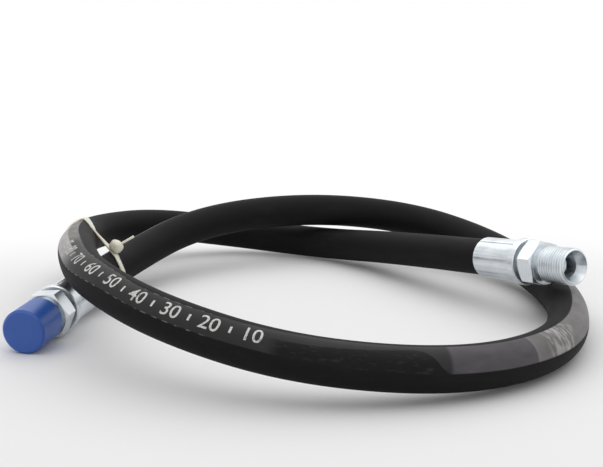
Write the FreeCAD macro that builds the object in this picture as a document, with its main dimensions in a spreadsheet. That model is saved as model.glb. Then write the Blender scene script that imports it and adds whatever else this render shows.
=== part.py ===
import FreeCAD, Part
import math
import os

import Sketcher

Vector = FreeCAD.Vector
UP = Vector(0, 0, 1)

# Driving sizes in millimetres, each with the word that the rest of the model calls it by
SIZES = [
    ("hose_bore", 12.7, "inside diameter of the half inch hose"),
    ("inner_tube_od", 16.5, "outside of the oil-proof inner tube"),
    ("inner_braid_od", 17.5, "outside of the first steel wire braid"),
    ("interlayer_od", 18.1, "outside of the rubber layer between the braids"),
    ("outer_braid_od", 19.1, "outside of the second steel wire braid"),
    ("cover_od", 22.0, "outside of the rubber cover"),
    ("hose_insert", 32.0, "how far the hose goes into each ferrule"),
    ("squeeze_start", 2.5, "from the ferrule mouth to where the cover is squeezed"),
    ("squeezed_od", 20.0, "cover under the crimp"),
    ("tool_od", 26.0, "outside of the ring that takes the squeezed rubber away"),
    ("ferrule_bell", 22.3, "bell mouth of the ferrule"),
    ("ferrule_bell_depth", 4.0, "depth at which the bell has narrowed to the crimped bore"),
    ("ferrule_tooth_od", 20.8, "bottom of the grooves between the ferrule teeth"),
    ("ferrule_tooth_first", 7.0, "from the mouth to the first groove"),
    ("ferrule_tooth_step", 5.0, "from one groove to the next"),
    ("ferrule_groove_width", 2.2, "width of a groove inside the ferrule"),
    ("ferrule_od", 24.5, "outside of the crimped part of the ferrule"),
    ("ferrule_edge", 0.6, "rounded-off mouth edge of the ferrule"),
    ("crimp_end", 30.0, "end of the crimped part"),
    ("collar_start", 31.5, "start of the full uncrimped collar"),
    ("collar_od", 27.3, "outside of the uncrimped collar"),
    ("ferrule_length", 36.0, "whole ferrule"),
    ("ferrule_floor", 33.5, "inner face of the ferrule's end wall"),
    ("ferrule_lip_bore", 14.6, "hole in the ferrule's end wall"),
    ("mark_width", 1.3, "width of a crimp mark"),
    ("mark_floor", 23.8, "diameter at the bottom of the crimp marks"),
    ("mark_reach", 26.0, "diameter past which a crimp mark is open"),
    ("flow_bore", 9.8, "bore through the fitting"),
    ("tail_start", 2.0, "from the ferrule mouth to the tip of the tail"),
    ("tail_tip_od", 11.4, "tip of the tail"),
    ("tail_valley_od", 11.9, "tail between its barbs"),
    ("tail_nose", 1.5, "tapered nose of the tail"),
    ("barb_step", 4.6, "from one barb to the next"),
    ("barb_ramp", 3.6, "sloped part of a barb"),
    ("stop_start", 32.0, "shoulder that the hose end meets"),
    ("stop_end", 33.3, "end of that shoulder"),
    ("stop_od", 16.0, "outside of that shoulder"),
    ("lock_od", 14.0, "groove that the ferrule's end wall sits in"),
    ("neck_start", 36.2, "start of the neck beside the ferrule"),
    ("neck_od", 18.6, "neck between ferrule and hexagon"),
    ("hex_start", 38.5, "near face of the hexagon"),
    ("hex_length", 10.5, "length of the hexagon"),
    ("hex_flats", 24.0, "hexagon across its flats"),
    ("hex_bevel", 1.0, "bevel on the hexagon's corners"),
    ("hex_clear", 34.0, "ring outside the hexagon that is cut away"),
    ("undercut_od", 18.2, "relief between hexagon and thread"),
    ("undercut_width", 2.4, "width of that relief"),
    ("thread_od", 20.955, "major diameter of the half inch pipe thread"),
    ("thread_root", 18.631, "minor diameter of the thread"),
    ("thread_pitch", 1.8143, "fourteen threads to the inch"),
    ("thread_lead_in", 1.0, "bevel at each end of the thread"),
    ("fitting_length", 71.0, "from the ferrule mouth to the end of the thread"),
    ("cone_mouth", 18.2, "mouth of the sealing cone"),
    ("cone_depth", 5.1, "depth of the sealing cone"),
    ("counterbore", 12.4, "bore behind the sealing cone"),
    ("counterbore_depth", 12.5, "from the end of the thread to the end of that bore"),
    ("bore_taper", 1.4, "taper from that bore to the flow bore"),
    ("thread_end_od", 18.9, "end face of the thread"),
    ("cap_bore", 21.6, "inside of the thread cap"),
    ("cap_od", 23.9, "outside of the thread cap"),
    ("cap_start", 53.0, "from the ferrule mouth to the open end of the cap"),
    ("cap_length", 22.5, "length of the cap"),
    ("cap_floor", 2.0, "thickness of the closed end"),
    ("cap_bevel", 1.2, "rounded-off edge of the closed end"),
    ("tie_loop_radius", 15.6, "inside radius of the tie's loop at its two ends"),
    ("tie_span", 38.0, "from one end of the tie's loop to the other"),
    ("tie_thickness", 1.2, "thickness of the strap"),
    ("tie_width", 3.6, "width of the strap"),
    ("tie_head_place", 22.0, "place of the head along the upper strand"),
    ("tie_head_length", 6.0, "head along the strap"),
    ("tie_head_height", 4.6, "height of the head"),
    ("tie_head_width", 5.6, "head across the strap"),
    ("tie_tail_length", 9.0, "cut end of the strap beyond the head"),
    ("tie_tail_rise", 5.0, "how far the cut end stands up"),
]

CRIMP_MARKS = 8
BARBS = 6
TEETH = 5
HEX_SIDES = 6

# The hose's route, from the left ferrule's mouth to the right ferrule's mouth
ROUTE = [
    (-130.5, -9.5, 15.3),
    (-117.0, 56.5, 18.3),
    (-74.0, 116.5, 33.5),
    (-1.0, 151.5, 37.2),
    (73.0, 145.5, 32.0),
    (124.0, 101.5, 21.5),
    (149.5, 34.5, 12.0),
    (149.0, -41.5, 12.5),
    (126.0, -110.5, 11.8),
    (72.5, -150.5, 13.0),
    (-2.5, -157.0, 20.5),
    (-65.5, -135.0, 33.5),
    (-110.0, -87.0, 42.5),
    (-129.0, -24.5, 40.5),
    (-143.0, 41.5, 33.5),
    (-144.0, 103.0, 29.5),
    (-110.0, 152.5, 25.5),
    (-51.0, 174.0, 14.0),
    (14.0, 153.5, 10.0),
    (66.0, 87.5, 20.6),
    (111.0, 17.5, 29.8),
]
ARC_SHARE = 0.45

# The tie's plane: the middle of its loop round the rising hose, the middle round the lying one
TIE_LEFT = Vector(-143.7, 75.5, 31.4)
TIE_RIGHT = Vector(-113.1, 53.0, 20.0)

# How far each hexagon is turned from having a corner level with the axis, in degrees
RIGHT_HEX_TURN = -16.0
LEFT_HEX_TURN = 6.0


class Size:
    """A number together with the sheet formula that gives it."""

    def __init__(self, value, formula):
        self.value = value
        self.formula = formula

    def __add__(self, other):
        return Size(self.value + other.value, f"({self.formula} + {other.formula})")

    def __sub__(self, other):
        return Size(self.value - other.value, f"({self.formula} - {other.formula})")

    def times(self, count):
        return Size(self.value * count, f"{self.formula} * {count}")

    def half(self):
        return Size(self.value / 2, f"{self.formula} / 2")


ZERO = Size(0.0, "0")
VALUES = {alias: value for alias, value, note in SIZES}


def size(alias):
    return Size(VALUES[alias], f"sizes.{alias}")


def radius(alias):
    return size(alias).half()


def make_sheet(doc):
    sheet = doc.addObject("Spreadsheet::Sheet", "sizes")
    for row, (alias, value, note) in enumerate(SIZES, start=1):
        sheet.set(f"A{row}", note)
        sheet.set(f"B{row}", str(value))
        sheet.setAlias(f"B{row}", alias)
    doc.recompute()
    return sheet


def origin_feature(body, role):
    return next(item for item in body.Origin.OriginFeatures if item.Role == role)


def new_sketch(body, name, role):
    sketch = body.newObject("Sketcher::SketchObject", name)
    sketch.AttachmentSupport = [(origin_feature(body, role), "")]
    sketch.MapMode = "FlatFace"
    return sketch


def bind_constraint(sketch, constraint, place):
    index = sketch.addConstraint(constraint)
    sketch.setExpression(f"Constraints[{index}]", place.formula)


def hold_point(sketch, line, across, along):
    """Hold a line's first point at its distances from the sketch's two axes."""
    if across.value == 0:
        sketch.addConstraint(Sketcher.Constraint("PointOnObject", line, 1, -2))
    else:
        rule = Sketcher.Constraint("DistanceX", -1, 1, line, 1, across.value)
        bind_constraint(sketch, rule, across)
    if along.value == 0:
        sketch.addConstraint(Sketcher.Constraint("PointOnObject", line, 1, -1))
    else:
        rule = Sketcher.Constraint("DistanceY", -1, 1, line, 1, along.value)
        bind_constraint(sketch, rule, along)


def draw_outline(sketch, corners):
    """Draw a closed outline of straight lines with every corner held by the sheet."""
    points = [Vector(across.value, along.value, 0) for across, along in corners]
    count = len(points)
    for index, point in enumerate(points):
        sketch.addGeometry(Part.LineSegment(point, points[(index + 1) % count]), False)
    for index in range(count):
        rule = Sketcher.Constraint("Coincident", index, 2, (index + 1) % count, 1)
        sketch.addConstraint(rule)
    for index, (across, along) in enumerate(corners):
        hold_point(sketch, index, across, along)


def turned_body(doc, name, corners):
    """A body made by turning an outline of (radius, station) corners about its Z axis."""
    body = doc.addObject("PartDesign::Body", name)
    body.Label = name
    sketch = new_sketch(body, f"{name}_section", "XZ_Plane")
    draw_outline(sketch, corners)
    turn = body.newObject("PartDesign::Revolution", f"{name}_turned")
    turn.Profile = sketch
    turn.ReferenceAxis = (sketch, ["V_Axis"])
    turn.Angle = 360.0
    doc.recompute()
    return body


def ferrule_corners():
    bore = radius("squeezed_od")
    tooth = radius("ferrule_tooth_od")
    edge = size("ferrule_edge")
    end = size("ferrule_length")
    corners = [
        (radius("ferrule_bell"), ZERO),
        (radius("ferrule_od") - edge, ZERO),
        (radius("ferrule_od"), edge),
        (radius("ferrule_od"), size("crimp_end")),
        (radius("collar_od"), size("collar_start")),
        (radius("collar_od"), end - edge),
        (radius("collar_od") - edge, end),
        (radius("ferrule_lip_bore"), end),
        (radius("ferrule_lip_bore"), size("ferrule_floor")),
        (bore, size("ferrule_floor")),
    ]
    for index in reversed(range(TEETH)):
        near = size("ferrule_tooth_first") + size("ferrule_tooth_step").times(index)
        far = near + size("ferrule_groove_width")
        corners += [(bore, far), (tooth, far), (tooth, near), (bore, near)]
    corners.append((bore, size("ferrule_bell_depth")))
    corners.append((radius("ferrule_bell"), size("squeeze_start")))
    return corners


def make_ferrule(doc, name):
    body = turned_body(doc, name, ferrule_corners())
    whole = body.Shape.Volume
    sketch = new_sketch(body, f"{name}_mark", "XY_Plane")
    floor = radius("mark_floor")
    reach = radius("mark_reach")
    width = size("mark_width")
    draw_outline(sketch, [(floor, ZERO), (reach, ZERO), (reach, width), (floor, width)])
    pocket = body.newObject("PartDesign::Pocket", f"{name}_mark_cut")
    pocket.Profile = sketch
    pocket.Type = "Length"
    pocket.setExpression("Length", "sizes.crimp_end")
    pocket.Reversed = True
    doc.recompute()
    pattern = body.newObject("PartDesign::PolarPattern", f"{name}_marks")
    pattern.Originals = [pocket]
    pattern.Axis = (origin_feature(body, "Z_Axis"), [""])
    pattern.Angle = 360.0
    pattern.Occurrences = CRIMP_MARKS
    body.Tip = pattern
    doc.recompute()
    print(f"{name}: crimp marks take {whole - body.Shape.Volume:.1f} mm3")
    return body


def tail_corners():
    """The barbed tail, from its tip to the shoulder that the hose end meets."""
    crest = radius("hose_bore")
    valley = radius("tail_valley_od")
    start = size("tail_start")
    corners = [(radius("flow_bore"), start), (radius("tail_tip_od"), start)]
    first = start + size("tail_nose")
    for index in range(BARBS):
        near = first + size("barb_step").times(index)
        corners.append((valley, near))
        corners.append((crest, near + size("barb_ramp")))
        corners.append((crest, near + size("barb_step")))
    return corners


def fitting_corners():
    hex_end = size("hex_start") + size("hex_length")
    hex_radius = Size(VALUES["hex_flats"] / math.sqrt(3), "sizes.hex_flats / sqrt(3)")
    bevel = size("hex_bevel")
    flat = radius("hex_flats")
    relief_end = hex_end + size("undercut_width")
    end = size("fitting_length")
    lead = size("thread_lead_in")
    bore_end = end - size("counterbore_depth")
    return tail_corners() + [
        (radius("tail_valley_od"), size("stop_start")),
        (radius("stop_od"), size("stop_start")),
        (radius("stop_od"), size("stop_end")),
        (radius("lock_od"), size("stop_end")),
        (radius("lock_od"), size("neck_start")),
        (radius("neck_od"), size("neck_start")),
        (radius("neck_od"), size("hex_start")),
        (flat, size("hex_start")),
        (hex_radius, size("hex_start") + bevel),
        (hex_radius, hex_end - bevel),
        (flat, hex_end),
        (radius("undercut_od"), hex_end),
        (radius("undercut_od"), relief_end),
        (radius("thread_od"), relief_end + lead),
        (radius("thread_od"), end - lead),
        (radius("thread_end_od"), end),
        (radius("cone_mouth"), end),
        (radius("counterbore"), end - size("cone_depth")),
        (radius("counterbore"), bore_end),
        (radius("flow_bore"), bore_end - size("bore_taper")),
    ]


def draw_hexagon(sketch):
    """Six equal sides with their corners on one circle, the first corner on the X axis."""
    corner = VALUES["hex_flats"] / math.sqrt(3)
    turn = 2 * math.pi / HEX_SIDES
    points = [Vector(corner * math.cos(turn * k), corner * math.sin(turn * k), 0) for k in range(HEX_SIDES)]
    for index, point in enumerate(points):
        sketch.addGeometry(Part.LineSegment(point, points[(index + 1) % HEX_SIDES]), False)
    rim = sketch.addGeometry(Part.Circle(Vector(0, 0, 0), UP, corner), True)
    sketch.addConstraint(Sketcher.Constraint("Coincident", rim, 3, -1, 1))
    rule = Sketcher.Constraint("Radius", rim, corner)
    bind_constraint(sketch, rule, Size(corner, "sizes.hex_flats / sqrt(3)"))
    for index in range(HEX_SIDES):
        after = (index + 1) % HEX_SIDES
        sketch.addConstraint(Sketcher.Constraint("Coincident", index, 2, after, 1))
        sketch.addConstraint(Sketcher.Constraint("PointOnObject", index, 1, rim))
    for index in range(1, HEX_SIDES):
        sketch.addConstraint(Sketcher.Constraint("Equal", 0, index))
    sketch.addConstraint(Sketcher.Constraint("PointOnObject", 0, 1, -1))


def cut_hexagon(doc, body, name):
    """Cut the round blank down to six flats; nothing else on the fitting reaches past them."""
    sketch = new_sketch(body, f"{name}_hex", "XY_Plane")
    draw_hexagon(sketch)
    clear = radius("hex_clear")
    outer = sketch.addGeometry(Part.Circle(Vector(0, 0, 0), UP, clear.value), False)
    sketch.addConstraint(Sketcher.Constraint("Coincident", outer, 3, -1, 1))
    bind_constraint(sketch, Sketcher.Constraint("Radius", outer, clear.value), clear)
    pocket = body.newObject("PartDesign::Pocket", f"{name}_flats")
    pocket.Profile = sketch
    pocket.Type = "Length"
    pocket.setExpression("Length", "sizes.fitting_length")
    pocket.Reversed = True
    doc.recompute()


def cut_thread(doc, body, name):
    """Cut a vee groove along a helix from the relief past the end of the thread."""
    pitch = VALUES["thread_pitch"]
    depth = (VALUES["thread_od"] - VALUES["thread_root"]) / 2
    over = 0.2
    root_half = 0.05
    half = root_half + (depth + over) * math.tan(math.radians(27.5))
    start = size("hex_start") + size("hex_length") + size("undercut_width").half()
    root = radius("thread_root")
    top = Size(root.value + depth + over, f"(sizes.thread_od / 2 + {over})")
    narrow = Size(root_half, str(root_half))
    wide = Size(half, str(round(half, 4)))
    sketch = new_sketch(body, f"{name}_vee", "XZ_Plane")
    corners = [(root, start - narrow), (root, start + narrow), (top, start + wide), (top, start - wide)]
    draw_outline(sketch, corners)
    helix = body.newObject("PartDesign::SubtractiveHelix", f"{name}_thread")
    helix.Profile = sketch
    helix.ReferenceAxis = (sketch, ["V_Axis"])
    helix.Mode = "pitch-height-angle"
    helix.Pitch = pitch
    helix.setExpression("Pitch", "sizes.thread_pitch")
    helix.setExpression("Height", f"sizes.fitting_length - {start.formula} + 1")
    helix.Angle = 0.0
    helix.LeftHanded = False
    helix.Reversed = False
    doc.recompute()


def make_fitting(doc, name):
    body = turned_body(doc, name, fitting_corners())
    blank = body.Shape.Volume
    cut_hexagon(doc, body, name)
    flats = body.Shape.Volume
    cut_thread(doc, body, name)
    print(f"{name}: flats take {blank - flats:.0f} mm3, thread takes {flats - body.Shape.Volume:.0f} mm3")
    return body


def cap_corners():
    floor = size("cap_length") - size("cap_floor")
    bevel = size("cap_bevel")
    return [
        (radius("cap_bore"), ZERO),
        (radius("cap_od"), ZERO),
        (radius("cap_od"), size("cap_length") - bevel),
        (radius("cap_od") - bevel, size("cap_length")),
        (ZERO, size("cap_length")),
        (ZERO, floor),
        (radius("cap_bore"), floor),
    ]


def rounded_loop(sketch, inside, span):
    """Two half circles joined by two straight lines, round two centres on the X axis."""
    reach = inside.value
    far = span.value
    left = Part.Circle(Vector(0, 0, 0), UP, reach)
    right = Part.Circle(Vector(far, 0, 0), UP, reach)
    arcs = [
        Part.ArcOfCircle(left, math.pi / 2, 3 * math.pi / 2),
        Part.ArcOfCircle(right, -math.pi / 2, math.pi / 2),
    ]
    lines = [
        Part.LineSegment(Vector(0, -reach, 0), Vector(far, -reach, 0)),
        Part.LineSegment(Vector(far, reach, 0), Vector(0, reach, 0)),
    ]
    first = sketch.GeometryCount
    for item in (arcs[0], lines[0], arcs[1], lines[1]):
        sketch.addGeometry(item, False)
    left_arc, bottom, right_arc, top = range(first, first + 4)
    sketch.addConstraint(Sketcher.Constraint("Coincident", left_arc, 3, -1, 1))
    sketch.addConstraint(Sketcher.Constraint("PointOnObject", right_arc, 3, -1))
    bind_constraint(sketch, Sketcher.Constraint("DistanceX", -1, 1, right_arc, 3, far), span)
    bind_constraint(sketch, Sketcher.Constraint("Radius", left_arc, reach), inside)
    for before, after in ((left_arc, bottom), (bottom, right_arc), (right_arc, top), (top, left_arc)):
        before_end = 2
        after_end = 1
        sketch.addConstraint(Sketcher.Constraint("Tangent", before, before_end, after, after_end))


def symmetric_pad(doc, body, sketch, name, length):
    pad = body.newObject("PartDesign::Pad", name)
    pad.Profile = sketch
    pad.Type = "Length"
    pad.setExpression("Length", length)
    pad.SideType = "Symmetric"
    doc.recompute()
    return pad


def make_tie(doc, name):
    body = doc.addObject("PartDesign::Body", name)
    body.Label = name
    strap = new_sketch(body, f"{name}_loop", "XY_Plane")
    inside = size("tie_loop_radius")
    span = size("tie_span")
    rounded_loop(strap, inside, span)
    rounded_loop(strap, inside + size("tie_thickness"), span)
    symmetric_pad(doc, body, strap, f"{name}_strap", "sizes.tie_width")
    head = new_sketch(body, f"{name}_head_outline", "XY_Plane")
    start = size("tie_head_place")
    end = start + size("tie_head_length")
    top = inside + size("tie_head_height")
    draw_outline(head, [(start, inside), (end, inside), (end, top), (start, top)])
    symmetric_pad(doc, body, head, f"{name}_head", "sizes.tie_head_width")
    tail = new_sketch(body, f"{name}_tail_outline", "XY_Plane")
    low = inside + size("tie_thickness").times(2)
    high = low + size("tie_thickness")
    tip = end + size("tie_tail_length")
    rise = size("tie_tail_rise")
    draw_outline(tail, [(end, low), (tip, low + rise), (tip, high + rise), (end, high)])
    symmetric_pad(doc, body, tail, f"{name}_tail", "sizes.tie_width")
    return body


def route_corners():
    """Each inner point of the route with the arc that rounds it, and the radii."""
    points = [Vector(*point) for point in ROUTE]
    runs = [after - before for before, after in zip(points, points[1:])]
    rounded = []
    for index in range(1, len(points) - 1):
        into = runs[index - 1]
        out = runs[index]
        turn = into.getAngle(out)
        tangent = ARC_SHARE * min(into.Length, out.Length)
        arc_radius = tangent / math.tan(turn / 2)
        into_unit = Vector(into).normalize()
        out_unit = Vector(out).normalize()
        start = points[index] - into_unit * tangent
        end = points[index] + out_unit * tangent
        inward = (out_unit - into_unit).normalize()
        middle = points[index] + inward * (arc_radius / math.cos(turn / 2) - arc_radius)
        rounded.append((start, middle, end, arc_radius))
    return points, rounded


def make_route(doc):
    """The hose's line: straight inside both ferrules, runs and tangent arcs between them."""
    points, rounded = route_corners()
    insert = VALUES["hose_insert"]
    begin = points[0] + left_axis() * insert
    finish = points[-1] + right_axis() * insert
    edges = []
    place = begin
    for start, middle, end, arc_radius in rounded:
        edges.append(Part.LineSegment(place, start).toShape())
        edges.append(Part.Arc(start, middle, end).toShape())
        place = end
    edges.append(Part.LineSegment(place, finish).toShape())
    route = doc.addObject("Part::Feature", "hose_route")
    route.Shape = Part.Wire(edges)
    print("arc radii " + " ".join(f"{item[3]:.0f}" for item in rounded))
    free = route.Shape.Length - 2 * insert
    print(f"hose {route.Shape.Length:.0f} mm, {free:.0f} mm of it between the ferrules")
    return route


def left_axis():
    """From the hose out through the left fitting."""
    return (Vector(*ROUTE[0]) - Vector(*ROUTE[1])).normalize()


def right_axis():
    """From the hose out through the right fitting."""
    return (Vector(*ROUTE[-1]) - Vector(*ROUTE[-2])).normalize()


def end_placement(mouth, axis, turn):
    """Local Z along the fitting, local X level, then turned about the axis in degrees."""
    side = axis.cross(UP).normalize()
    rise = axis.cross(side)
    upright = FreeCAD.Rotation(side, rise, axis, "ZXY")
    spin = FreeCAD.Rotation(UP, turn)
    return FreeCAD.Placement(Vector(*mouth), upright.multiply(spin))


def slid(placement, distance):
    along = placement.Rotation.multVec(Vector(0, 0, distance))
    return FreeCAD.Placement(placement.Base + along, placement.Rotation)


def tie_placement():
    """Local X from one hose to the other, local Y towards the upper strand."""
    across = TIE_RIGHT - TIE_LEFT
    side = across.cross(UP).normalize()
    rise = side.cross(across).normalize()
    middle = (TIE_LEFT + TIE_RIGHT) * 0.5
    start = middle - Vector(across).normalize() * (VALUES["tie_span"] / 2)
    rotation = FreeCAD.Rotation(Vector(across).normalize(), rise, Vector(0, 0, 0), "XYZ")
    return FreeCAD.Placement(start, rotation)


def swept_round(doc, route, alias):
    """A solid round rod along the whole route."""
    ring = doc.addObject("Part::Circle", f"{alias}_ring")
    ring.setExpression("Radius", f"sizes.{alias} / 2")
    inward = Vector(0, 0, 0) - left_axis()
    start = Vector(*ROUTE[0]) + left_axis() * VALUES["hose_insert"]
    ring.Placement = FreeCAD.Placement(start, FreeCAD.Rotation(UP, inward))
    rod = doc.addObject("Part::Sweep", f"{alias}_rod")
    rod.Sections = [ring]
    rod.Spine = (route, [f"Edge{n + 1}" for n in range(len(route.Shape.Edges))])
    rod.Solid = True
    rod.Frenet = False
    return rod


def cut(doc, name, base, tool):
    result = doc.addObject("Part::Cut", name)
    result.Base = base
    result.Tool = tool
    result.Label = name
    return result


def cylinder(doc, name, alias, length, placement):
    rod = doc.addObject("Part::Cylinder", name)
    rod.setExpression("Radius", f"sizes.{alias} / 2")
    rod.setExpression("Height", length)
    rod.Placement = placement
    return rod


def squeeze_ring(doc, side, placement):
    """The rubber that the crimp presses out of one end of the cover."""
    start = slid(placement, VALUES["squeeze_start"])
    length = "sizes.ferrule_length - sizes.squeeze_start"
    outer = cylinder(doc, f"{side}_squeeze_outer", "tool_od", length, start)
    inner = cylinder(doc, f"{side}_squeeze_inner", "squeezed_od", length, start)
    return cut(doc, f"{side}_squeeze", outer, inner)


def make_hose(doc, route, left, right):
    """The five layers of the hose, each a tube along the same route."""
    aliases = ["hose_bore", "inner_tube_od", "inner_braid_od", "interlayer_od", "outer_braid_od", "cover_od"]
    rods = [swept_round(doc, route, alias) for alias in aliases]
    names = ["hose_inner_tube", "hose_inner_braid", "hose_interlayer", "hose_outer_braid"]
    layers = [cut(doc, name, rods[k + 1], rods[k]) for k, name in enumerate(names)]
    whole_cover = cut(doc, "whole_cover", rods[5], rods[4])
    left_pressed = cut(doc, "left_pressed_cover", whole_cover, squeeze_ring(doc, "left", left))
    right_ring = squeeze_ring(doc, "right", right)
    layers.append(cut(doc, "hose_cover", left_pressed, right_ring))
    doc.recompute()
    for rod, alias in zip(rods, aliases):
        section = math.pi * VALUES[alias] ** 2 / 4
        ratio = rod.Shape.Volume / (section * route.Shape.Length)
        print(f"{alias}: volume is {ratio:.4f} of section times length")
    return layers


def failed(doc):
    return [item.Name for item in doc.Objects if {"Invalid", "Error"} & set(item.State)]


def write_parts(doc, pieces):
    os.makedirs("parts", exist_ok=True)
    bad = failed(doc)
    if bad:
        raise RuntimeError("objects failed: " + ", ".join(bad))
    for piece in pieces:
        if piece.Shape.isNull() or not piece.Shape.isValid():
            raise RuntimeError(f"{piece.Label} has no valid shape")
    for piece in pieces:
        piece.Shape.exportStep(f"parts/{piece.Label}.step")
        box = piece.Shape.BoundBox
        print(f"{piece.Label}: {len(piece.Shape.Solids)} solid, {piece.Shape.Volume:.0f} mm3, "
              f"x {box.XMin:.1f} {box.XMax:.1f} y {box.YMin:.1f} {box.YMax:.1f} z {box.ZMin:.1f} {box.ZMax:.1f}")


def main():
    doc = FreeCAD.newDocument("hose_assembly")
    make_sheet(doc)
    left = end_placement(ROUTE[0], left_axis(), LEFT_HEX_TURN)
    right = end_placement(ROUTE[-1], right_axis(), RIGHT_HEX_TURN)
    pieces = make_hose(doc, make_route(doc), left, right)
    for side, placement in (("left", left), ("right", right)):
        ferrule = make_ferrule(doc, f"{side}_ferrule")
        ferrule.Placement = placement
        fitting = make_fitting(doc, f"{side}_fitting")
        fitting.Placement = placement
        pieces += [ferrule, fitting]
    cap = turned_body(doc, "thread_cap", cap_corners())
    cap.Placement = slid(left, VALUES["cap_start"])
    tie = make_tie(doc, "cable_tie")
    tie.Placement = tie_placement()
    pieces += [cap, tie]
    doc.recompute()
    write_parts(doc, pieces)


main()
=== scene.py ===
import math

import bmesh
import bpy
from mathutils import Matrix, Vector, geometry


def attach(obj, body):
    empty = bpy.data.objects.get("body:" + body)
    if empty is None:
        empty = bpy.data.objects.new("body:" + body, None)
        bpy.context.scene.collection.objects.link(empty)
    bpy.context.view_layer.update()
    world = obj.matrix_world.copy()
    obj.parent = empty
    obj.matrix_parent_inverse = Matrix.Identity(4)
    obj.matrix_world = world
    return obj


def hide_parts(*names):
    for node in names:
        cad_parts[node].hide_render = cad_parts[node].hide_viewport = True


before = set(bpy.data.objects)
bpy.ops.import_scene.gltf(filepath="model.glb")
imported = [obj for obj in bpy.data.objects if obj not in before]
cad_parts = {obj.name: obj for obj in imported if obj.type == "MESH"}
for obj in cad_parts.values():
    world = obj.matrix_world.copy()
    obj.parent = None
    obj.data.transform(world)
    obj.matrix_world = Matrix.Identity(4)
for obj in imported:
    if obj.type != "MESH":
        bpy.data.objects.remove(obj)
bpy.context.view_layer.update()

MM = 0.001
UP = Vector((0, 0, 1))
MAIN = "hose_assembly"
HOSE_LAYERS = [
    "hose_inner_tube",
    "hose_inner_braid",
    "hose_interlayer",
    "hose_outer_braid",
    "hose_cover",
]

# The hose's route between the two ferrule mouths, by the same points as in the solids, in metres
ROUTE = [
    (-0.1305, -0.0095, 0.0153),
    (-0.1170, 0.0565, 0.0183),
    (-0.0740, 0.1165, 0.0335),
    (-0.0010, 0.1515, 0.0372),
    (0.0730, 0.1455, 0.0320),
    (0.1240, 0.1015, 0.0215),
    (0.1495, 0.0345, 0.0120),
    (0.1490, -0.0415, 0.0125),
    (0.1260, -0.1105, 0.0118),
    (0.0725, -0.1505, 0.0130),
    (-0.0025, -0.1570, 0.0205),
    (-0.0655, -0.1350, 0.0335),
    (-0.1100, -0.0870, 0.0425),
    (-0.1290, -0.0245, 0.0405),
    (-0.1430, 0.0415, 0.0335),
    (-0.1440, 0.1030, 0.0295),
    (-0.1100, 0.1525, 0.0255),
    (-0.0510, 0.1740, 0.0140),
    (0.0140, 0.1535, 0.0100),
    (0.0660, 0.0875, 0.0206),
    (0.1110, 0.0175, 0.0298),
]
HOSE_RADIUS = 11.0 * MM
HOSE_SIDES = 72
SPLINE_STEPS = 40
RING_STEP = 1.6 * MM
INSIDE_FERRULE = 2.3 * MM

# The smooth band that the marking is printed on: millimetres along the hose, then the band's
# middle and half its width in degrees from the top towards the outside
BAND = [
    (0, 46, 34),
    (450, 46, 36),
    (570, 46, 38),
    (660, 45, 39),
    (710, 43, 37),
    (732, 42, 33),
    (770, 43, 30),
    (792, 41, 29),
    (806, 38, 29),
    (817, 33, 32),
    (833, 32, 35),
    (856, 34, 38),
    (882, 33, 39),
    (915, 33, 41),
    (960, 35, 41),
    (1010, 44, 38),
    (1060, 50, 34),
    (1400, 50, 34),
]

# Camera, from the photograph's perspective
FRAME_WIDTH = 603
FOCAL_PIXELS = 1070
SENSOR = 36.0
CAMERA_PLACE = (0.0018, -0.6164, 0.1705)
CAMERA_PITCH = 11.25
CAMERA_YAW = 0.32
CAMERA_NEAR = 0.02


def unit(vector):
    return Vector(vector).normalized()


LEFT_MOUTH = Vector(ROUTE[0])
LEFT_AXIS = unit(Vector(ROUTE[0]) - Vector(ROUTE[1]))
RIGHT_MOUTH = Vector(ROUTE[-1])
RIGHT_AXIS = unit(Vector(ROUTE[-1]) - Vector(ROUTE[-2]))


# Small helpers for material nodes

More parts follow.
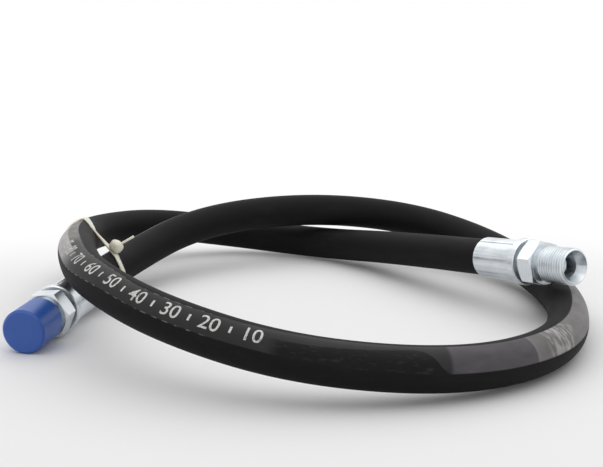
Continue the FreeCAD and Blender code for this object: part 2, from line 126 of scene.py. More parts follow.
class Nodes:
    """One material's node tree, with a short call for each kind of node."""

    def __init__(self, name):
        self.material = bpy.data.materials.new(name)
        self.material.use_nodes = True
        self.tree = self.material.node_tree
        self.shader = self.tree.nodes["Principled BSDF"]
        self.output = self.tree.nodes["Material Output"]

    def add(self, kind, **values):
        node = self.tree.nodes.new(kind)
        for key, value in values.items():
            setattr(node, key, value)
        return node

    def link(self, start, end):
        self.tree.links.new(start, end)

    def put(self, node, socket, value):
        if isinstance(value, bpy.types.NodeSocket):
            self.link(value, node.inputs[socket])
        else:
            node.inputs[socket].default_value = value

    def place(self, axis=None, origin=(0, 0, 0)):
        """Coordinates in metres; with an axis, Z runs along it from the origin."""
        coordinates = self.add("ShaderNodeTexCoord").outputs["Object"]
        if axis is None:
            return coordinates
        shifted = self.add("ShaderNodeVectorMath", operation="SUBTRACT")
        self.link(coordinates, shifted.inputs[0])
        shifted.inputs[1].default_value = origin
        turned = self.add("ShaderNodeVectorRotate", rotation_type="EULER_XYZ")
        turned.inputs["Rotation"].default_value = unit(axis).rotation_difference(UP).to_euler()
        self.link(shifted.outputs[0], turned.inputs["Vector"])
        return turned.outputs[0]

    def scaled(self, vector, scale):
        node = self.add("ShaderNodeMapping")
        self.link(vector, node.inputs["Vector"])
        node.inputs["Scale"].default_value = scale
        return node.outputs[0]

    def noise(self, vector, scale, detail=3.0, rough=0.5):
        node = self.add("ShaderNodeTexNoise")
        self.link(vector, node.inputs["Vector"])
        node.inputs["Scale"].default_value = scale
        node.inputs["Detail"].default_value = detail
        node.inputs["Roughness"].default_value = rough
        return node.outputs["Fac"]

    def wave(self, vector, scale, axis, distortion=0.0):
        node = self.add("ShaderNodeTexWave", wave_type="BANDS", bands_direction=axis)
        self.link(vector, node.inputs["Vector"])
        node.inputs["Scale"].default_value = scale
        node.inputs["Distortion"].default_value = distortion
        return node.outputs["Fac"]

    def ramp(self, value, stops):
        node = self.add("ShaderNodeValToRGB")
        self.link(value, node.inputs["Fac"])
        elements = node.color_ramp.elements
        while len(elements) < len(stops):
            elements.new(0.5)
        for element, (place, colour) in zip(elements, stops):
            element.position = place
            element.color = colour if len(colour) == 4 else (*colour, 1)
        return node.outputs["Color"]

    def map_range(self, value, low, high, to_low, to_high, soft=False):
        node = self.add("ShaderNodeMapRange")
        if soft:
            node.interpolation_type = "SMOOTHSTEP"
        self.put(node, "Value", value)
        node.inputs["From Min"].default_value = low
        node.inputs["From Max"].default_value = high
        node.inputs["To Min"].default_value = to_low
        node.inputs["To Max"].default_value = to_high
        return node.outputs[0]

    def math(self, operation, first, second):
        node = self.add("ShaderNodeMath", operation=operation)
        self.put(node, 0, first)
        self.put(node, 1, second)
        return node.outputs[0]

    def between(self, value, low, high, blur):
        """One where the value is inside low and high, zero outside, blurred at both ends."""
        rise = self.map_range(value, low - blur, low + blur, 0.0, 1.0, True)
        fall = self.map_range(value, high - blur, high + blur, 1.0, 0.0, True)
        return self.math("MULTIPLY", rise, fall)

    def uv(self, name):
        return self.add("ShaderNodeUVMap", uv_map=name).outputs[0]

    def split(self, vector):
        node = self.add("ShaderNodeSeparateXYZ")
        self.link(vector, node.inputs[0])
        return node.outputs[0], node.outputs[1]

    def mix(self, amount, first, second):
        node = self.add("ShaderNodeMix", data_type="RGBA")
        self.put(node, "Factor", amount)
        for socket, value in (("A", first), ("B", second)):
            target = next(s for s in node.inputs if s.name == socket and s.type == "RGBA")
            if isinstance(value, bpy.types.NodeSocket):
                self.link(value, target)
            else:
                target.default_value = (*value, 1)
        return next(s for s in node.outputs if s.type == "RGBA")

    def bump(self, height, strength, distance, before=None):
        node = self.add("ShaderNodeBump")
        node.inputs["Strength"].default_value = strength
        node.inputs["Distance"].default_value = distance
        self.link(height, node.inputs["Height"])
        if before is not None:
            self.link(before, node.inputs["Normal"])
        return node.outputs["Normal"]

    def finish(self, **sockets):
        for name, value in sockets.items():
            self.put(self.shader, name.replace("_", " "), value)
        return self.material


# Where the band changes along the hose, in metres
TURN_START = 0.450
SMUDGE_START = 0.566
SMUDGE_END = 0.592
TURN_END = 0.602
CLEAN_END = 0.6485
PATCH_END = 0.726
LETTERS_START = 0.755
LETTERS_END = 0.940
CROWN_START = 0.872
CROWN_TOP = 0.905
CROWN_END = 1.060

# Where across the band the rubbed patch begins, at places along the hose in metres; 0 is the band's
# inner edge and 1 its outer edge, where the patch ends
PATCH_EDGE = [
    (0.6505, 1.00),
    (0.6545, 0.62),
    (0.6580, 0.30),
    (0.6650, 0.17),
    (0.6780, 0.27),
    (0.7100, 0.42),
]

RUBBER = (0.0075, 0.0068, 0.0073)
BAND_LETTERS = (0.034, 0.032, 0.034)
BAND_CLEAN = (0.092, 0.086, 0.095)
# The right turn's pale grey: partly the band's own tone, partly painted sheen
BAND_TURN_AND_SHEEN = (0.180, 0.169, 0.170)
BAND_FADED = (0.040, 0.038, 0.039)
# The crown's grey: partly the band's own tone, partly painted sheen
BAND_CROWN_AND_SHEEN = (0.180, 0.175, 0.165)
# Pale colour for print smudges and marks, and also for the painted sheen on the crown
PALE_INK_AND_SHEEN = (0.42, 0.40, 0.40)
DUSTY_RUBBER = (0.030, 0.028, 0.029)
LINE_INK = (0.16, 0.155, 0.15)

# Scales of the noises and waves on the rubber, along the hose and round it
WEAR_SCALE = (160, 420, 1)
STREAK_SCALE = (420, 110, 1)
BLOTCH_SCALE = (60, 150, 1)
DUST_SCALE = (30, 120, 1)
SWELL_SCALE = (14, 60, 1)
WORN_LINE_SCALE = (200, 200, 1)
GRAIN_SCALE = 900
CLOTH_WAVES = 260
DASH_WAVES = 50

# How softly the band's zones pass into each other, in metres along the hose
SHARP = 0.0012
EDGE_MARK = (0.0008, 0.0004)
PATCH_BLUR = 0.004
LETTERS_BLUR = 0.002
LINE_BLUR = 0.01
LINE_SHORTER = 0.015
CROWN_BLUR = 0.02
# How softly the painted sheen on the crown fades in and out
SHEEN_BLUR = 0.018

# Places and blurs across the band, from -1 at its inner edge to 1 at its outer edge
BAND_EDGE_BLUR = 0.05
# Where across the band the painted sheen on the crown begins
SHEEN_FROM = -0.2
LINE_ACROSS = (0.97, 1.05, 0.015)


def zoned_band(n, along, streaks):
    """The band's colour round the right turn and the clean stretch after it; the turn's pale grey is
    partly the band's own tone and partly painted sheen.
    """
    colour = n.mix(n.between(along, TURN_START, TURN_END, SHARP), BAND_FADED, BAND_TURN_AND_SHEEN)
    colour = n.mix(n.between(along, TURN_END, CLEAN_END, SHARP), colour, BAND_CLEAN)
    smudge = n.between(along, SMUDGE_START, SMUDGE_END, PATCH_BLUR)
    smudge = n.math("MULTIPLY", smudge, n.map_range(streaks, 0.46, 0.60, 0.0, 0.9, True))
    colour = n.mix(smudge, colour, PALE_INK_AND_SHEEN)
    reach, blur = EDGE_MARK
    edge = n.between(along, TURN_END - reach, TURN_END + reach, blur)
    return n.mix(n.math("MULTIPLY", edge, 0.25), colour, PALE_INK_AND_SHEEN)


def rubbed_patch(n, along, across):
    """Where the clean band is rubbed dark, as a share from 0 to 1."""
    shoulder = n.ramp(along, [(place, (level, level, level)) for place, level in PATCH_EDGE])
    level = n.map_range(across, -1.0, 1.0, 0.0, 1.0)
    patch = n.map_range(n.math("SUBTRACT", level, shoulder), -0.02, 0.05, 0.0, 1.0, True)
    return n.math("MULTIPLY", patch, n.between(along, CLEAN_END, PATCH_END, PATCH_BLUR))


def band_colour(n, along, across, place):
    """Colour of the band: pale in the right turn, clean grey, a dark rubbed patch, then grey; over the
    crown a lighter grey, partly painted sheen, and a painted pale sheen on its outer part.
    """
    wear = n.noise(n.scaled(place, WEAR_SCALE), 1.0, 4, 0.6)
    streaks = n.noise(n.scaled(place, STREAK_SCALE), 1.0, 4, 0.6)
    blotch = n.noise(n.scaled(place, BLOTCH_SCALE), 1.0, 3, 0.55)
    colour = zoned_band(n, along, streaks)
    patch = rubbed_patch(n, along, across)
    rubbed = n.mix(n.map_range(wear, 0.52, 0.66, 0.0, 0.5, True), RUBBER, BAND_LETTERS)
    letters = n.between(along, CLEAN_END, LETTERS_END, LETTERS_BLUR)
    colour = n.mix(letters, colour, BAND_LETTERS)
    colour = n.mix(patch, colour, rubbed)
    # Over the crown: a grey that is partly painted sheen, then a painted pale sheen on the band's outer
    # part
    colour = n.mix(n.between(along, CROWN_TOP, CROWN_END, CROWN_BLUR), colour, BAND_CROWN_AND_SHEEN)
    painted_sheen = n.between(across, SHEEN_FROM, 1.0, BAND_EDGE_BLUR)
    painted_sheen = n.math("MULTIPLY", painted_sheen, n.between(along, CROWN_START, CROWN_END, SHEEN_BLUR))
    colour = n.mix(painted_sheen, colour, PALE_INK_AND_SHEEN)
    return n.mix(n.map_range(blotch, 0.35, 0.70, 0.0, 0.30), colour, RUBBER)


def printed_line(n, place, along, across):
    """Worn dashes along both edges of the lettered band, as a share from 0 to 1."""
    near, far, blur = LINE_ACROSS
    line = n.between(n.math("ABSOLUTE", across, 0.0), near, far, blur)
    dashes = n.wave(n.scaled(place, (1, 0, 0)), DASH_WAVES, "X")
    dashes = n.map_range(dashes, 0.35, 0.55, 0.0, 1.0)
    worn = n.noise(n.scaled(place, WORN_LINE_SCALE), 1.0, 2, 0.5)
    worn = n.map_range(worn, 0.40, 0.58, 0.0, 0.9)
    line = n.math("MULTIPLY", line, n.math("MULTIPLY", dashes, worn))
    stretch = n.between(along, LETTERS_START, LETTERS_END - LINE_SHORTER, LINE_BLUR)
    return n.math("MULTIPLY", line, stretch)


def rubber_relief(n, place):
    """A slow swell, the print of the curing cloth and a fine grain."""
    swell = n.noise(n.scaled(place, SWELL_SCALE), 1.0, 2, 0.5)
    cloth_across = n.wave(n.scaled(place, (1, 0, 1)), CLOTH_WAVES, "X")
    cloth_along = n.wave(n.scaled(place, (0, 1, 1)), CLOTH_WAVES, "Y")
    cloth = n.math("MULTIPLY", cloth_across, cloth_along)
    grain = n.noise(n.place(), GRAIN_SCALE, 3, 0.6)
    normal = n.bump(swell, 0.25, 0.0005)
    normal = n.bump(cloth, 0.08, 0.0001, normal)
    return n.bump(grain, 0.14, 0.00012, normal)


def cover_material():
    """Black wrapped rubber with the smooth printed band along it."""
    n = Nodes("cover_rubber")
    place = n.uv("hose")
    along, across = n.split(n.uv("print"))
    inside = n.between(across, -1.0, 1.0, BAND_EDGE_BLUR)
    dust = n.noise(n.scaled(place, DUST_SCALE), 1.0, 5, 0.62)
    body = n.mix(n.map_range(dust, 0.50, 0.80, 0.0, 0.35), RUBBER, DUSTY_RUBBER)
    colour = n.mix(inside, body, band_colour(n, along, across, place))
    colour = n.mix(printed_line(n, place, along, across), colour, LINE_INK)
    normal = rubber_relief(n, place)
    rough = n.map_range(dust, 0.35, 0.75, 0.62, 0.74)
    rough = n.math("SUBTRACT", rough, n.math("MULTIPLY", inside, 0.20))
    return n.finish(Base_Color=colour, Roughness=rough, Normal=normal, IOR=1.28, Specular_IOR_Level=0.3)


# Colours and patterns of the steel, the cap, the tie and the marks
ZINC = [(0.3, (0.60, 0.65, 0.68)), (0.5, (0.72, 0.76, 0.79)), (0.72, (0.80, 0.83, 0.85))]
DARK_ZINC = (0.42, 0.46, 0.49)
RING_SCALE = (120, 120, 5200)
DRAWN_SCALE = (700, 700, 25)
FERRULE_ROUGHNESS = 0.34
FITTING_ROUGHNESS = 0.32
CAP_BLUE = [(0.3, (0.018, 0.078, 0.34)), (0.7, (0.028, 0.105, 0.40))]
TIE_CREAM = [(0.3, (0.66, 0.61, 0.47)), (0.7, (0.80, 0.76, 0.64))]
TIE_RIBS = 260
INK = [(0.48, (0.62, 0.62, 0.60)), (0.62, (0.35, 0.35, 0.34)), (0.72, (0.03, 0.03, 0.03))]


def plated_material(name, mouth, axis, turned, rough):
    """Zinc plated steel with tool rings round its own axis or faint streaks along it."""
    n = Nodes(name)
    local = n.place(axis, mouth)
    rings = n.noise(n.scaled(local, RING_SCALE), 1.0, 2, 0.6)
    streaks = n.noise(n.scaled(local, DRAWN_SCALE), 1.0, 3, 0.6)
    cloud = n.noise(local, 90, 4, 0.55)
    spots = n.noise(local, 700, 2, 0.5)
    lines = rings if turned else streaks
    darker = n.map_range(lines, 0.35, 0.70, 0.0, 0.45, True)
    colour = n.mix(darker, n.ramp(cloud, ZINC), DARK_ZINC)
    normal = n.bump(lines, 0.22, 0.00006)
    normal = n.bump(spots, 0.08, 0.00008, normal)
    gloss = n.map_range(cloud, 0.3, 0.7, rough - 0.06, rough + 0.08)
    return n.finish(Base_Color=colour, Roughness=gloss, Normal=normal, Metallic=1.0)


def cap_material():
    """Blue moulded polyethylene."""
    n = Nodes("cap_plastic")
    local = n.place(LEFT_AXIS, LEFT_MOUTH)
    cloud = n.noise(local, 60, 3, 0.5)
    grain = n.noise(local, 1800, 2, 0.5)
    colour = n.ramp(cloud, CAP_BLUE)
    normal = n.bump(grain, 0.10, 0.00005)
    rough = n.map_range(cloud, 0.3, 0.7, 0.34, 0.44)
    return n.finish(Base_Color=colour, Roughness=rough, Normal=normal, IOR=1.5)


def tie_material():
    """Natural nylon, slightly translucent."""
    n = Nodes("tie_nylon")
    cloud = n.noise(n.place(), 160, 3, 0.5)
    grain = n.noise(n.place(), 2400, 2, 0.5)
    ribs = n.wave(n.scaled(n.uv("strap"), (1, 0, 0)), TIE_RIBS, "X")
    colour = n.ramp(cloud, TIE_CREAM)
    normal = n.bump(ribs, 0.35, 0.0003)
    normal = n.bump(grain, 0.08, 0.00005, normal)
    rough = n.map_range(cloud, 0.3, 0.7, 0.36, 0.46)
    return n.finish(Base_Color=colour, Roughness=rough, Normal=normal, Subsurface_Weight=0.15, IOR=1.53)


def mark_material():
    """Off-white marking ink, worn through in specks."""
    n = Nodes("marking_ink")
    wear = n.noise(n.place(), 1300, 4, 0.65)
    patch = n.noise(n.place(), 160, 2, 0.5)
    worn = n.math("ADD", wear, n.map_range(patch, 0.3, 0.7, -0.06, 0.08))
    colour = n.ramp(worn, INK)
    return n.finish(Base_Color=colour, Roughness=0.55)


# Hose

def route_curve():
    """The route as one smooth open spline with the route's points as its control points."""
    data = bpy.data.curves.new("route", "CURVE")
    data.dimensions = "3D"
    data.resolution_u = SPLINE_STEPS
    spline = data.splines.new("NURBS")
    spline.points.add(len(ROUTE) - 1)
    for point, place in zip(spline.points, ROUTE):
        point.co = (*place, 1)
    spline.order_u = 3
    spline.use_endpoint_u = True
    return bpy.data.objects.new("route", data)


def spline_points():
    curve = route_curve()
    bpy.context.scene.collection.objects.link(curve)
    bpy.context.view_layer.update()
    mesh = bpy.data.meshes.new_from_object(curve)
    points = [vertex.co.copy() for vertex in mesh.vertices]
    bpy.data.objects.remove(curve)
    bpy.data.meshes.remove(mesh)
    return points


class HoseLine:
    """The hose's centre line with its lengths and level-kept directions."""

    def __init__(self, points):
        self.points = points
        self.lengths = [0.0]
        for before, after in zip(points, points[1:]):
            self.lengths.append(self.lengths[-1] + (after - before).length)
        self.total = self.lengths[-1]

    def at(self, along):
        """Place and direction at a length along the hose; straight on past either end."""
        if along <= 0:
            tangent = -LEFT_AXIS
            return self.points[0] + tangent * along, tangent
        if along >= self.total:
            return self.points[-1] + RIGHT_AXIS * (along - self.total), RIGHT_AXIS.copy()
        low = 0
        high = len(self.lengths) - 1
        while high - low > 1:
            middle = (low + high) // 2
            if self.lengths[middle] <= along:
                low = middle
            else:
                high = middle
        span = self.lengths[high] - self.lengths[low]
        share = (along - self.lengths[low]) / span
        place = self.points[low].lerp(self.points[high], share)
        return place, self.tangent(low).lerp(self.tangent(high), share).normalized()

    def tangent(self, index):
        before = self.points[max(index - 1, 0)]
        after = self.points[min(index + 1, len(self.points) - 1)]
        return (after - before).normalized()

    def directions(self, along):
        """Place, direction, up and outward, where outward is to the left of the way along."""
        place, tangent = self.at(along)
        out = UP.cross(tangent).normalized()
        up = tangent.cross(out).normalized()
        return place, tangent, up, out

    def surface(self, along, angle, height=0.0):
        """A point on the cover at an angle from the top towards the outside."""
        place, _, up, out = self.directions(along)
        normal = up * math.cos(angle) + out * math.sin(angle)
        return place + normal * (HOSE_RADIUS + height), normal


def band_at(along):
    """The band's middle and half width, in radians, at a length along the hose."""
    place = along / MM
    for before, after in zip(BAND, BAND[1:]):
        if place <= after[0]:
            share = max(0.0, (place - before[0]) / (after[0] - before[0]))
            middle = before[1] + (after[1] - before[1]) * share
            half = before[2] + (after[2] - before[2]) * share
            return math.radians(middle), math.radians(half)
    return math.radians(BAND[-1][1]), math.radians(BAND[-1][2])


def mesh_object(name, bm, material):
    mesh = bpy.data.meshes.new(name)
    bm.to_mesh(mesh)
    bm.free()
    for polygon in mesh.polygons:
        polygon.use_smooth = True
    mesh.materials.append(material)
    item = bpy.data.objects.new(name, mesh)
    bpy.context.scene.collection.objects.link(item)
    return item


def add_ring(bm, line, along):
    """One ring of points round the hose, from its top towards the outside."""
    place, _, up, out = line.directions(along)
    ring = []
    for side in range(HOSE_SIDES):
        angle = side * 2 * math.pi / HOSE_SIDES
        reach = up * math.cos(angle) + out * math.sin(angle)
        ring.append(bm.verts.new(place + reach * HOSE_RADIUS))
    return ring


def skin_rings(bm, rings, stations):
    """Faces from ring to ring, with coordinates along and round the hose and across the band."""
    uv = bm.loops.layers.uv.new("hose")
    band = bm.loops.layers.uv.new("print")
    turn = 2 * math.pi / HOSE_SIDES
    bands = [band_at(along) for along in stations]
    for k, (near, far) in enumerate(zip(rings, rings[1:])):
        for side in range(HOSE_SIDES):
            after = (side + 1) % HOSE_SIDES
            face = bm.faces.new((near[side], near[after], far[after], far[side]))
            corners = ((k, side), (k, side + 1), (k + 1, side + 1), (k + 1, side))
            whole_turn = 2 * math.pi if side * turn - bands[k][0] > math.pi else 0.0
            for loop, (station, step) in zip(face.loops, corners):
                middle, half = bands[station]
                angle = step * turn
                loop[uv].uv = (stations[station], angle * HOSE_RADIUS)
                loop[band].uv = (stations[station], (angle - middle - whole_turn) / half)


def make_cover(line, material):
    """The rubber cover as a closed tube that runs a little way into both ferrules."""
    start = -INSIDE_FERRULE
    length = line.total + 2 * INSIDE_FERRULE
    count = int(length / RING_STEP)
    stations = [start + length * k / count for k in range(count + 1)]
    bm = bmesh.new()
    rings = [add_ring(bm, line, along) for along in stations]
    skin_rings(bm, rings, stations)
    bm.faces.new(list(reversed(rings[0])))
    bm.faces.new(rings[-1])
    bmesh.ops.recalc_face_normals(bm, faces=bm.faces)
    cover = mesh_object("hose_cover_rubber", bm, material)
    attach(cover, MAIN)
    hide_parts(*HOSE_LAYERS)


# Marks printed on the band: plain numerals with a tick between them
MARKS = ["10", "20", "30", "40", "50", "60", "70", "80", "90"]
MARK_FIRST = 736.0
MARK_STEP = 20.0
MARK_HEIGHT = 7.2 * MM
DIGIT_SHARE = 0.72
MARK_SWELL = 0.05 * MM
MARK_LIFT = 0.04 * MM
STRIP = 0.4 * MM
TICK = (1.1 * MM, 3.4 * MM)


def add_numeral(bm, text):
    """A numeral as flat faces, centred, in metres."""
    data = bpy.data.curves.new("numeral", "FONT")
    data.body = text
    data.size = MARK_HEIGHT / DIGIT_SHARE
    data.align_x = "CENTER"
    data.align_y = "CENTER"
    data.offset = MARK_SWELL
    item = bpy.data.objects.new("numeral", data)
    bpy.context.scene.collection.objects.link(item)
    bpy.context.view_layer.update()
    mesh = bpy.data.meshes.new_from_object(item)
    bpy.data.objects.remove(item)
    bm.from_mesh(mesh)
    bpy.data.meshes.remove(mesh)


def add_rectangle(bm, x, y):
    """A flat rectangle reaching x and y to each side of the middle."""
    bm.faces.new([bm.verts.new(corner) for corner in ((-x, -y, 0), (x, -y, 0), (x, y, 0), (-x, y, 0))])


def add_tick(bm):
    wide, high = TICK
    add_rectangle(bm, wide / 2, high / 2)


def cut_in_strips(bm):
    """Cut flat faces across so that they can follow the hose's round."""
    count = int(MARK_HEIGHT / STRIP)
    for k in range(-count, count + 1):
        parts = bm.verts[:] + bm.edges[:] + bm.faces[:]
        bmesh.ops.bisect_plane(bm, geom=parts, plane_co=(0, k * STRIP, 0), plane_no=(0, 1, 0))


def lay_on_hose(bm, line, along):
    """Bend flat faces onto the band; they read upright from outside the loop."""
    middle = band_at(along)[0]
    for vert in bm.verts:
        x, y = vert.co.x, vert.co.y
        vert.co = line.surface(along - x, middle - y / HOSE_RADIUS, MARK_LIFT)[0]


def lay_mark(whole, bm, line, along):
    """Bend one flat mark onto the band and add it to the marks before it."""
    cut_in_strips(bm)
    lay_on_hose(bm, line, along)
    done = bpy.data.meshes.new("mark")
    bm.to_mesh(done)
    bm.free()
    whole.from_mesh(done)
    bpy.data.meshes.remove(done)


def make_marks(line, material):
    whole = bmesh.new()
    for k, text in enumerate(MARKS):
        along = (MARK_FIRST + k * MARK_STEP) * MM
        numeral = bmesh.new()
        add_numeral(numeral, text)
        lay_mark(whole, numeral, line, along)
        tick = bmesh.new()
        add_tick(tick)
        lay_mark(whole, tick, line, along + MARK_STEP * MM / 2)
    marks = mesh_object("band_marks", whole, material)
    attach(marks, MAIN)


# Cable tie: places on the hose that the strap runs through, as millimetres along the hose and
# degrees from the top towards the outside
STRAP_LIFT = 0.7 * MM
STRAP_ON_CROWN = [
    (990, 150),
    (993, 120),
    (996, 90),
    (1002, 55),
    (1009, 22),
    (1009, 0),
    (999, -18),
    (989, -34),
    (981, -58),
]
STRAP_ON_LOW = [
    (43, -14),
    (37, -48),
    (36, -80),
    (37, -104),
    (36, -130),
    (35, -158),
    (34, -180),
    (34, -200),
]
STRAP_WIDTH = 3.6 * MM
STRAP_THICK = 1.2 * MM
STRAP_STEP = 0.6 * MM
STRAP_CHAMFER = 0.3 * MM
STRAP_BLEND = 0.5 * MM

# The head's place on the free stretch between the two hoses, its size, and its cut tail
HEAD_SHARE = 0.92
HEAD_SIZE = (8.0 * MM, 7.2 * MM, 7.2 * MM)
HEAD_LIFT = 3.9 * MM
HEAD_BEVEL = 2.7 * MM
HEAD_BEVEL_STEPS = 5
TAIL_WAY = (0.85, 0.27, 0.46)
TAIL_FACE = (-0.46, 0.0, 0.85)
TAIL_LENGTH = 12.5 * MM
TAIL_PIECES = 6


def curve_through(places, step):
    """Evenly close points on a smooth closed curve through all the places."""
    points = []
    count = len(places)
    for k in range(count):
        before, start, end, after = (places[(k + shift) % count] for shift in (-1, 0, 1, 2))
        span = (end - start).length
        lead = min(span, (start - before).length) / 3
        tail = min(span, (after - end).length) / 3
        first = start + (end - before).normalized() * lead
        second = end - (after - start).normalized() * tail
        pieces = max(2, int(span / step))
        points += geometry.interpolate_bezier(start, first, second, end, pieces + 1)[:-1]
    return points


def strap_spot(line, station):
    along, angle = station
    return line.surface(along * MM, math.radians(angle), STRAP_LIFT)


def strap_ring(line):
    """Points of the strap's middle line and the way out of the loop at each."""
    spots = [strap_spot(line, station) for station in STRAP_ON_CROWN + STRAP_ON_LOW]
    points = curve_through([place for place, out in spots], STRAP_STEP)
    outs = []
    for point in points:
        weights = [(1.0 / ((point - place).length + STRAP_BLEND) ** 2, out) for place, out in spots]
        total = Vector((0, 0, 0))
        for weight, out in weights:
            total += out * weight
        outs.append(total.normalized())
    return points, outs


def strap_section(point, way, out):
    """Eight corners of the strap's rounded section, square to its way."""
    side = way.cross(out).normalized()
    outward = side.cross(way).normalized()
    wide = STRAP_WIDTH / 2
    thick = STRAP_THICK / 2
    inner = wide - STRAP_CHAMFER
    lower = thick - STRAP_CHAMFER
    corners = [
        (inner, thick), (wide, lower), (wide, -lower), (inner, -thick),
        (-inner, -thick), (-wide, -lower), (-wide, lower), (-inner, thick),
    ]
    return [point + side * x + outward * y for x, y in corners]


def join_sections(bm, uv, sections, lengths):
    count = len(sections[0])
    for near, far, start, end in zip(sections, sections[1:], lengths, lengths[1:]):
        for k in range(count):
            after = (k + 1) % count
            face = bm.faces.new((near[k], near[after], far[after], far[k]))
            for loop, value in zip(face.loops, (start, start, end, end)):
                loop[uv].uv = (value, k / count)


def add_strap(bm, uv, points, outs, closed):
    count = len(points)
    sections = []
    lengths = [0.0]
    for k, (point, out) in enumerate(zip(points, outs)):
        before = points[k - 1] if closed or k > 0 else point
        after = points[(k + 1) % count] if closed or k < count - 1 else point
        corners = strap_section(point, (after - before).normalized(), out)
        sections.append([bm.verts.new(corner) for corner in corners])
        lengths.append(lengths[-1] + (after - point).length)
    if closed:
        sections.append(sections[0])
    join_sections(bm, uv, sections, lengths)
    if not closed:
        bm.faces.new(list(reversed(sections[0])))
        bm.faces.new(sections[-1])


def add_head(bm, centre, way, out):
    """The tie's head: a rounded block on the strap."""
    side = way.cross(out).normalized()
    outward = side.cross(way).normalized()
    turn = Matrix((way, side, outward)).transposed().to_4x4()
    shape = Matrix.Translation(centre) @ turn @ Matrix.Diagonal((*HEAD_SIZE, 1))
    block = bmesh.ops.create_cube(bm, size=1.0, matrix=shape)
    edges = {edge for vert in block["verts"] for edge in vert.link_edges}
    bmesh.ops.bevel(bm, geom=list(edges), offset=HEAD_BEVEL, segments=HEAD_BEVEL_STEPS,
                    profile=0.5, affect="EDGES")


def make_tie(line, material):
    bm = bmesh.new()
    uv = bm.loops.layers.uv.new("strap")
    points, outs = strap_ring(line)
    add_strap(bm, uv, points, outs, True)
    start, out = strap_spot(line, STRAP_ON_CROWN[-1])
    end, end_out = strap_spot(line, STRAP_ON_LOW[0])
    out = (out + end_out).normalized()
    way = (end - start).normalized()
    centre = start.lerp(end, HEAD_SHARE) + out * HEAD_LIFT
    add_head(bm, centre, way, out)
    tail_way = unit(TAIL_WAY)
    tail = [centre + tail_way * (TAIL_LENGTH * k / TAIL_PIECES) for k in range(TAIL_PIECES + 1)]
    add_strap(bm, uv, tail, [unit(TAIL_FACE)] * len(tail), False)
    bmesh.ops.recalc_face_normals(bm, faces=bm.faces)
    tie = mesh_object("cable_tie_nylon", bm, material)
    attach(tie, MAIN)
    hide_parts("cable_tie")


# Carried-over steel and plastic pieces

def paint(node, material):
    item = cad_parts[node]
    item.data.materials.clear()
    item.data.materials.append(material)


def paint_carried():
    for side, mouth, axis in (("left", LEFT_MOUTH, LEFT_AXIS), ("right", RIGHT_MOUTH, RIGHT_AXIS)):
        ferrule = plated_material(f"{side}_ferrule_plating", mouth, axis, False, FERRULE_ROUGHNESS)
        fitting = plated_material(f"{side}_fitting_plating", mouth, axis, True, FITTING_ROUGHNESS)
        paint(f"{side}_ferrule", ferrule)
        paint(f"{side}_fitting", fitting)
    paint("thread_cap", cap_material())


# Floor, light and camera

FLOOR_SIZE = 6.0
FLOOR_COLOUR = (0.82, 0.815, 0.82)
FLOOR_DARKEST = 0.985
FLOOR_ROUGHNESS = 0.75
FLOOR_MIDDLE = (0.0, -0.118, 0.0)
FLOOR_SQUEEZE = (0.75, 1.0, 1.0)
FLOOR_NEAR = 0.24
FLOOR_FAR = 0.40
LAMP_POWER = 9.0
LAMP_SIZE = 1.9
LAMP_PLACE = (0.05, 0.222, 0.95)
LAMP_TARGET = (0, 0.05, 0)
FILL_STRENGTH = 0.66


def make_floor():
    bm = bmesh.new()
    half = FLOOR_SIZE / 2
    add_rectangle(bm, half, half)
    n = Nodes("floor")
    cloud = n.noise(n.place(), 1.5, 2, 0.5)
    low = tuple(FLOOR_DARKEST * c for c in FLOOR_COLOUR)
    colour = n.mix(cloud, low, FLOOR_COLOUR)
    floor = mesh_object("floor", bm, n.finish(Base_Color=colour, Roughness=FLOOR_ROUGHNESS))
    whiten_far(n)


def whiten_far(n):
    """Let the floor pass into the white background away from the hose, to cameras and reflections."""
    distance = n.add("ShaderNodeVectorMath", operation="LENGTH")
    shifted = n.add("ShaderNodeVectorMath", operation="SUBTRACT")
    n.link(n.place(), shifted.inputs[0])
    shifted.inputs[1].default_value = FLOOR_MIDDLE
    n.link(n.scaled(shifted.outputs[0], FLOOR_SQUEEZE), distance.inputs[0])
    far = n.map_range(distance.outputs["Value"], FLOOR_NEAR, FLOOR_FAR, 0.0, 1.0, True)
    path = n.add("ShaderNodeLightPath")
    seen = n.math("MAXIMUM", path.outputs["Is Camera Ray"], path.outputs["Is Glossy Ray"])
    seen = n.math("MAXIMUM", seen, path.outputs["Is Transmission Ray"])
    white = n.add("ShaderNodeEmission")
    blend = n.add("ShaderNodeMixShader")
    n.put(blend, 0, n.math("MULTIPLY", far, seen))
    n.link(n.shader.outputs[0], blend.inputs[1])
    n.link(white.outputs[0], blend.inputs[2])
    n.link(blend.outputs[0], n.output.inputs["Surface"])


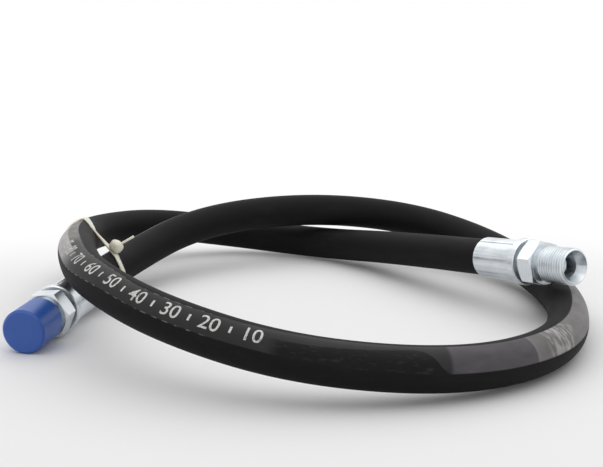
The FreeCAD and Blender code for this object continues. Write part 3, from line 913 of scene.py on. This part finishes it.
def make_world():
    world = bpy.data.worlds.new("studio")
    bpy.context.scene.world = world
    world.use_nodes = True
    tree = world.node_tree
    background = tree.nodes["Background"]
    path = tree.nodes.new("ShaderNodeLightPath")
    seen = tree.nodes.new("ShaderNodeMath")
    seen.operation = "MAXIMUM"
    tree.links.new(path.outputs["Is Camera Ray"], seen.inputs[0])
    tree.links.new(path.outputs["Is Glossy Ray"], seen.inputs[1])
    through = tree.nodes.new("ShaderNodeMath")
    through.operation = "MAXIMUM"
    tree.links.new(seen.outputs[0], through.inputs[0])
    tree.links.new(path.outputs["Is Transmission Ray"], through.inputs[1])
    strength = tree.nodes.new("ShaderNodeMapRange")
    strength.inputs["To Min"].default_value = FILL_STRENGTH
    strength.inputs["To Max"].default_value = 1.0
    tree.links.new(through.outputs[0], strength.inputs["Value"])
    background.inputs["Color"].default_value = (1, 1, 1, 1)
    tree.links.new(strength.outputs[0], background.inputs["Strength"])


def area_lamp(name, place, target, size, power):
    data = bpy.data.lights.new(name, "AREA")
    data.energy = power
    data.shape = "SQUARE"
    data.size = size
    lamp = bpy.data.objects.new(name, data)
    lamp.location = place
    lamp.rotation_euler = (Vector(target) - Vector(place)).to_track_quat("-Z", "Y").to_euler()
    bpy.context.scene.collection.objects.link(lamp)


def make_camera():
    data = bpy.data.cameras.new("camera")
    data.sensor_width = SENSOR
    data.lens = FOCAL_PIXELS / FRAME_WIDTH * SENSOR
    data.clip_start = CAMERA_NEAR
    camera = bpy.data.objects.new("camera", data)
    camera.location = CAMERA_PLACE
    camera.rotation_euler = (math.radians(90 - CAMERA_PITCH), 0, math.radians(CAMERA_YAW))
    bpy.context.scene.collection.objects.link(camera)
    bpy.context.scene.camera = camera


def main():
    make_camera()
    line = HoseLine(spline_points())
    make_cover(line, cover_material())
    make_marks(line, mark_material())
    make_tie(line, tie_material())
    paint_carried()
    make_floor()
    make_world()
    area_lamp("overhead", LAMP_PLACE, LAMP_TARGET, LAMP_SIZE, LAMP_POWER)
    bpy.context.scene.view_settings.view_transform = "Standard"


main()
